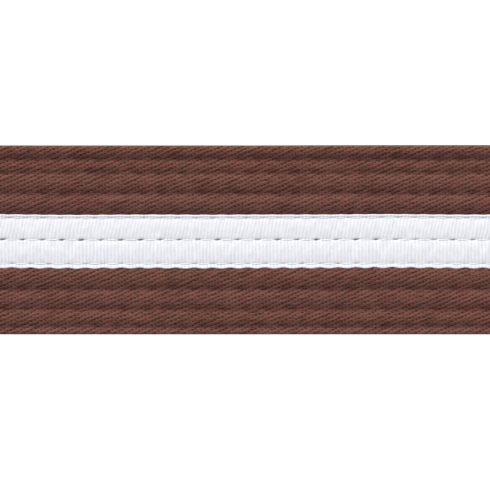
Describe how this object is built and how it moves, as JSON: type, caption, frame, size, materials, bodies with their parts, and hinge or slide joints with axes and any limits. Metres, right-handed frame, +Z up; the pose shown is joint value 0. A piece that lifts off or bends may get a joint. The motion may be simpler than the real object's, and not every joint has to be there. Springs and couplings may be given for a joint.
{
  "type": "martial arts belt",
  "caption": "Folded brown cotton martial arts belt with a white centre stripe and lengthwise stitching, held by a slip-off elastic loop; its free end lifts off the folds.",
  "frame": {"origin": "centre of the folded belt's footprint, on the surface that it lies on", "axes": "+X along the belt's runs, from the free tip to the tied folds; +Y across the belt; +Z up, out of the shown front face"},
  "size_m": [0.3216, 0.0466, 0.0457],
  "materials": {
    "brown_twill": "matt cotton twill",
    "white_tape": "ribbed cotton tape",
    "brown_thread": "matt sewing thread",
    "white_thread": "matt sewing thread",
    "core_cotton": "unbleached cotton",
    "tie_elastic": "woven elastic"
  },
  "bodies": {
    "folded_stack": {"cover_folded": "brown_twill", "core_ply_1_folded": "core_cotton", "core_ply_2_folded": "core_cotton", "core_ply_3_folded": "core_cotton", "core_ply_4_folded": "core_cotton", "front_stripe_folded": "white_tape", "back_stripe_folded": "white_tape", "stitch_row_1_folded": "brown_thread", "stitch_row_2_folded": "brown_thread", "stitch_row_3_folded": "brown_thread", "stitch_row_4_folded": "white_thread", "stitch_row_5_folded": "white_thread", "stitch_row_6_folded": "white_thread", "stitch_row_7_folded": "brown_thread", "stitch_row_8_folded": "brown_thread", "stitch_row_9_folded": "brown_thread", "inner_tip_cross_stitches": "brown_thread"},
    "free_end": {"cover_free_end": "brown_twill", "core_ply_1_free_end": "core_cotton", "core_ply_2_free_end": "core_cotton", "core_ply_3_free_end": "core_cotton", "core_ply_4_free_end": "core_cotton", "front_stripe_free_end": "white_tape", "back_stripe_free_end": "white_tape", "stitch_row_1_free_end": "brown_thread", "stitch_row_2_free_end": "brown_thread", "stitch_row_3_free_end": "brown_thread", "stitch_row_4_free_end": "white_thread", "stitch_row_5_free_end": "white_thread", "stitch_row_6_free_end": "white_thread", "stitch_row_7_free_end": "brown_thread", "stitch_row_8_free_end": "brown_thread", "stitch_row_9_free_end": "brown_thread", "free_tip_cross_stitches": "brown_thread"},
    "elastic_tie": {"elastic_tie": "tie_elastic"}
  },
  "joints": [
    {"name": "free_end_lift", "type": "hinge", "parent": "folded_stack", "child": "free_end", "pos_m": [0.1175, 0, 0.0446], "axis": [0, 1, 0], "range_deg": [0, 60]},
    {"name": "tie_slide", "type": "slide", "parent": "folded_stack", "child": "elastic_tie", "axis": [1, 0, 0], "range_m": [0, 0.045]}
  ]
}
